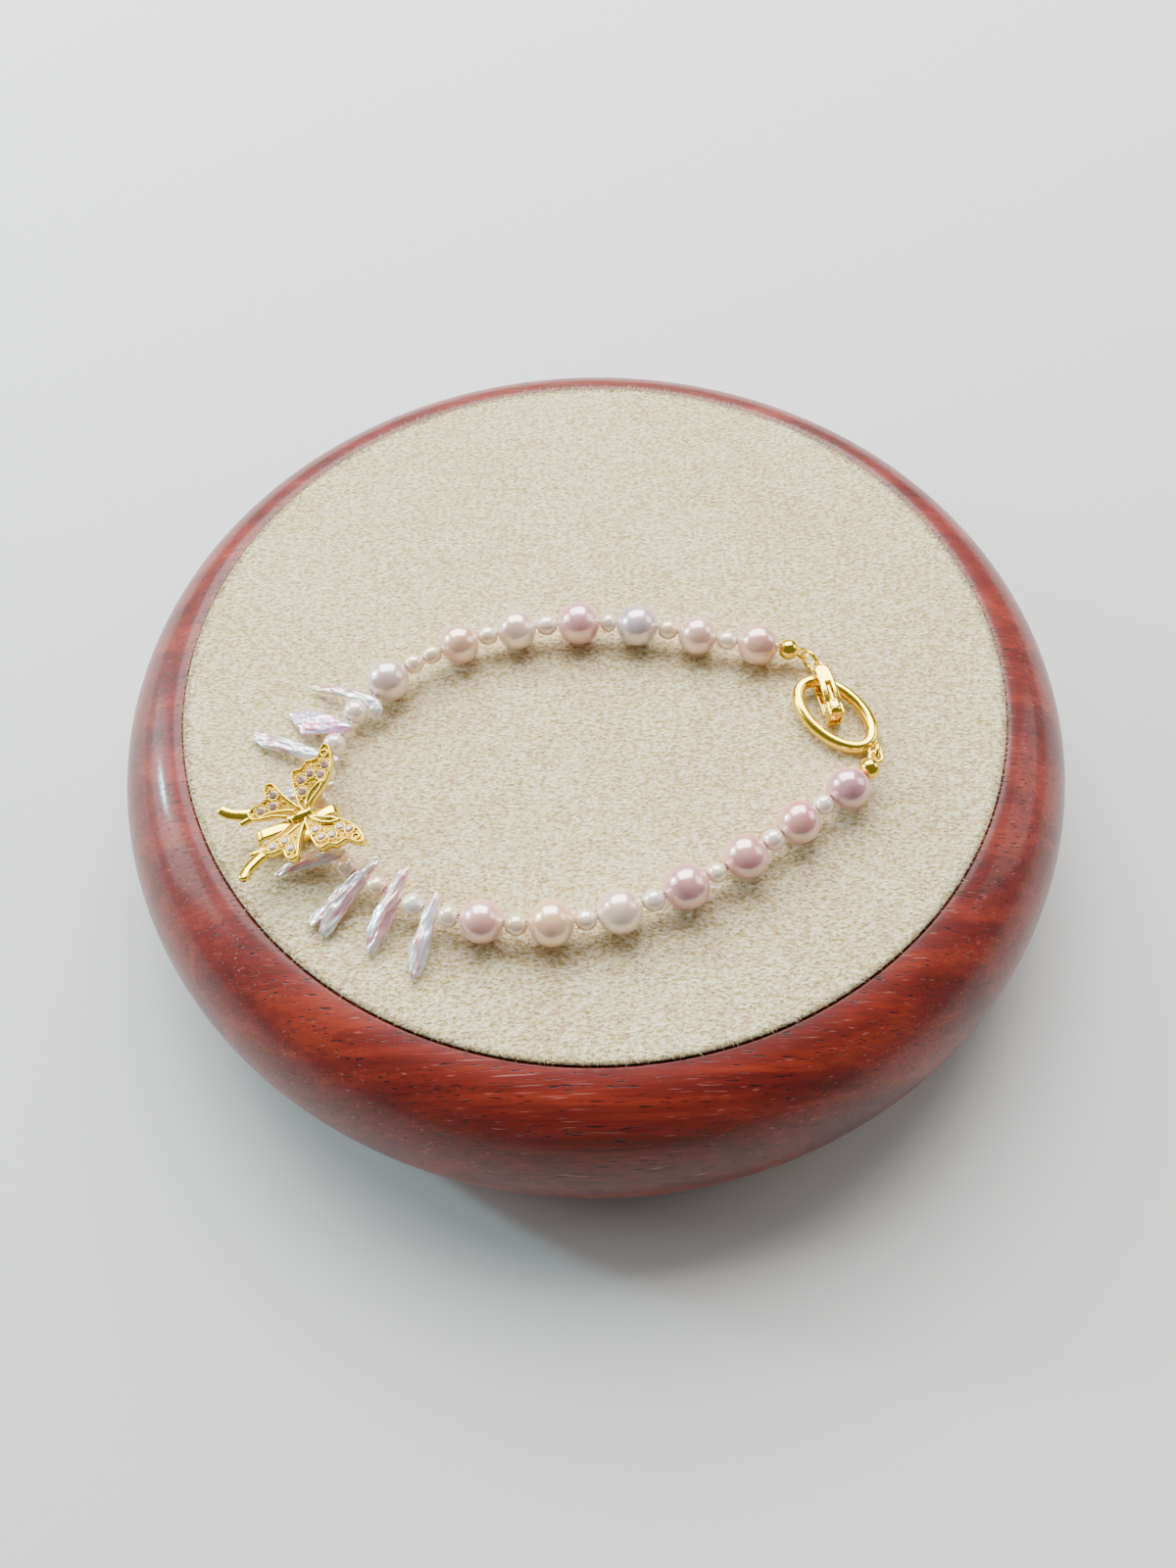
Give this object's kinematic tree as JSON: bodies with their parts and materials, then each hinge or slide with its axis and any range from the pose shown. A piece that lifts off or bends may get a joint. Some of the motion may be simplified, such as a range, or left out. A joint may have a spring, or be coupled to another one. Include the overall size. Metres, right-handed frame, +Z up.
{
  "type": "pearl bracelet on a round display board",
  "caption": "Closed pearl bracelet with stick pearls, a stone-set butterfly and an oval fold-over clasp, lying on a round wooden display board with a suede pad.",
  "frame": {"origin": "centre of the display board's flat underside", "axes": "+Z up, -Y towards the near side, +X towards the clasp's side"},
  "size_m": [0.1258, 0.1258, 0.0334],
  "materials": {
    "rosewood": "polished",
    "suede": "napped suede",
    "gold_plate": "polished gold plate",
    "nacre": "nacre lustre",
    "silk_thread": "twisted thread"
  },
  "bodies": {
    "bracelet_on_stand": {"butterfly": "gold_plate", "clasp_frame": "gold_plate", "end_ball_a": "gold_plate", "end_ball_b": "gold_plate", "jump_ring_a": "gold_plate", "jump_ring_b": "gold_plate", "oval_ring": "gold_plate", "pearl_01": "nacre", "pearl_02": "nacre", "pearl_03": "nacre", "pearl_04": "nacre", "pearl_05": "nacre", "pearl_06": "nacre", "pearl_07": "nacre", "pearl_08": "nacre", "pearl_09": "nacre", "pearl_10": "nacre", "pearl_11": "nacre", "pearl_12": "nacre", "pearl_13": "nacre", "pearl_14": "nacre", "seed_pearl_01": "nacre", "seed_pearl_02": "nacre", "seed_pearl_03": "nacre", "seed_pearl_04": "nacre", "seed_pearl_05": "nacre", "seed_pearl_06": "nacre", "seed_pearl_07": "nacre", "seed_pearl_08": "nacre", "seed_pearl_09": "nacre", "seed_pearl_10": "nacre", "seed_pearl_11": "nacre", "seed_pearl_12": "nacre", "seed_pearl_13": "nacre", "seed_pearl_14": "nacre", "seed_pearl_15": "nacre", "seed_pearl_16": "nacre", "seed_pearl_17": "nacre", "seed_pearl_18": "nacre", "seed_pearl_19": "nacre", "seed_pearl_20": "nacre", "seed_pearl_21": "nacre", "seed_pearl_22": "nacre", "stand_base": "rosewood", "stand_pad": "suede", "stick_pearl_01": "nacre", "stick_pearl_02": "nacre", "stick_pearl_03": "nacre", "stick_pearl_04": "nacre", "stick_pearl_05": "nacre", "stick_pearl_06": "nacre", "stick_pearl_07": "nacre", "stick_pearl_08": "nacre", "thread": "silk_thread"},
    "clasp_lever": {"clasp_lever": "gold_plate"}
  },
  "joints": [
    {"name": "clasp_lever_hinge", "type": "hinge", "parent": "bracelet_on_stand", "child": "clasp_lever", "pos_m": [0.0295, -0.00936, 0.02891], "axis": [0.9848, 0.1736, 0], "range_deg": [0, 95]}
  ]
}
